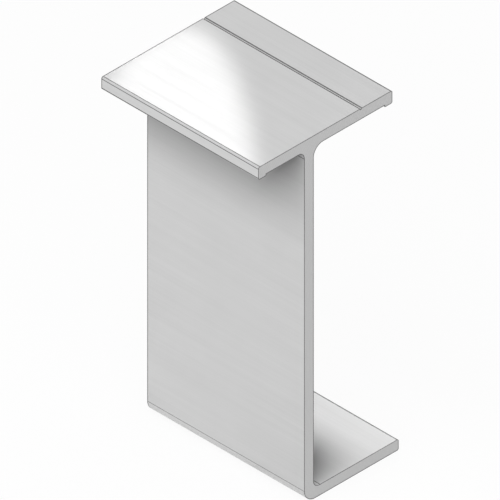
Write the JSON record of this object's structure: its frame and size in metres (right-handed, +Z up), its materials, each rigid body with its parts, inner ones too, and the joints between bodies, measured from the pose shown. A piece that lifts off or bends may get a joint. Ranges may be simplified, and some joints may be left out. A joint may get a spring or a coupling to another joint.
{
  "type": "aluminium t-profile",
  "caption": "Short length of extruded aluminium T-profile: an upright web under a wide off-centre flange with lipped edges and a marking groove, and a foot to one side.",
  "frame": {"origin": "centre of the section's width and of the length, on the plane that the foot stands on", "axes": "+Z up along the web to the flange, +X across the section towards the foot, Y along the stock"},
  "size_m": [0.0446, 0.05, 0.1],
  "materials": {
    "aluminium": "mill finish as extruded, sawn ends"
  },
  "bodies": {
    "root": {"t_profile": "aluminium"}
  },
  "joints": []
}
